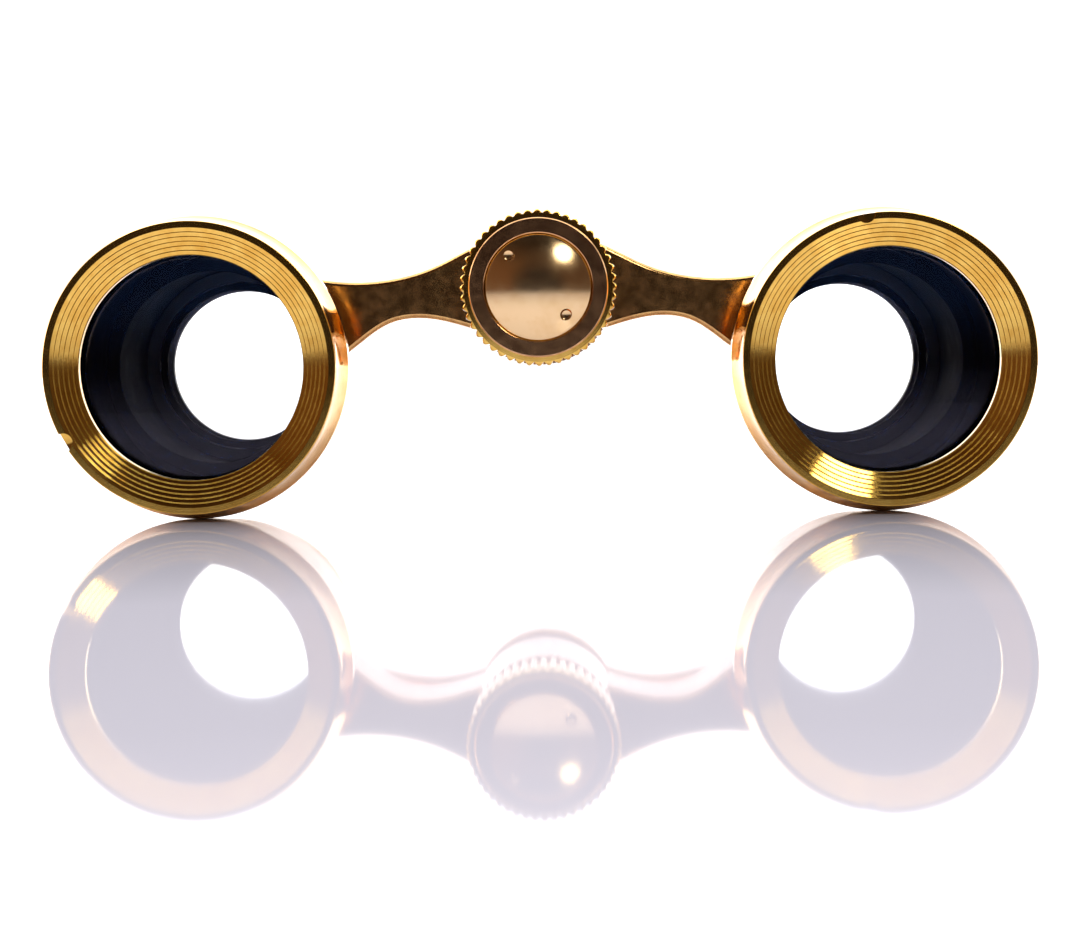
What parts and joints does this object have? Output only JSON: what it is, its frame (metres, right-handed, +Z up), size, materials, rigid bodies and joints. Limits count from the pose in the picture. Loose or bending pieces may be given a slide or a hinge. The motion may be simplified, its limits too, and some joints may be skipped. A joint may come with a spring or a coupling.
{
  "type": "opera glasses",
  "caption": "Small gilt brass opera glasses: two ribbed-rim barrels joined by a slim curved bridge, with a knurled centre wheel that slides the eyepieces for focus.",
  "frame": {"origin": "centre of the bounding box at its bottom, on the surface the barrels rest on", "axes": "+Z up, +Y along the tubes towards the eyepieces, objectives at -Y, +X from the left tube to the right one seen from the objectives"},
  "size_m": [0.0894, 0.043, 0.0274],
  "materials": {
    "gold": "polished gilt, lightly worn",
    "polished_gold": "mirror polished rose gilt",
    "glass": "coated optical glass",
    "black": "matt black lacquer",
    "bronze": "turned bearing bronze",
    "nickel": "nickel plated, satin",
    "steel": "turned, oiled"
  },
  "bodies": {
    "frame": {"front_bridge": "gold", "bridge_screws": "steel", "hub_bush": "bronze", "barrel_left": "gold", "barrel_right": "gold", "barrel_guide_left": "black", "barrel_guide_right": "black", "objective_bezel_left": "gold", "objective_bezel_right": "gold", "objective_lens_left": "glass", "objective_lens_right": "glass", "objective_retainer_left": "black", "objective_retainer_right": "black"},
    "focus_wheel": {"focus_wheel": "gold", "focus_cap": "polished_gold", "focus_screw": "steel", "thrust_washer": "bronze", "stop_washer": "steel", "stop_screw": "steel"},
    "eyepiece_carriage": {"rear_bridge": "gold", "nut_sleeve": "nickel", "rear_hub_cap": "gold", "draw_tube_left": "gold", "draw_tube_right": "gold", "eyepiece_lens_left": "glass", "eyepiece_lens_right": "glass", "eyepiece_retainer_left": "black", "eyepiece_retainer_right": "black", "eyecup_left": "gold", "eyecup_right": "gold"}
  },
  "joints": [
    {"name": "focus_wheel_spin", "type": "hinge", "parent": "frame", "child": "focus_wheel", "pos_m": [0, 0, 0.02045], "axis": [0, -1, 0], "range_deg": [0, 432.5]},
    {"name": "eyepiece_focus_slide", "type": "slide", "parent": "frame", "child": "eyepiece_carriage", "axis": [0, 1, 0], "range_m": [0, 0.006]}
  ],
  "couplings": [
    {"joint": "focus_wheel_spin", "follows": "eyepiece_focus_slide", "rad_per_m": 1256.6}
  ]
}
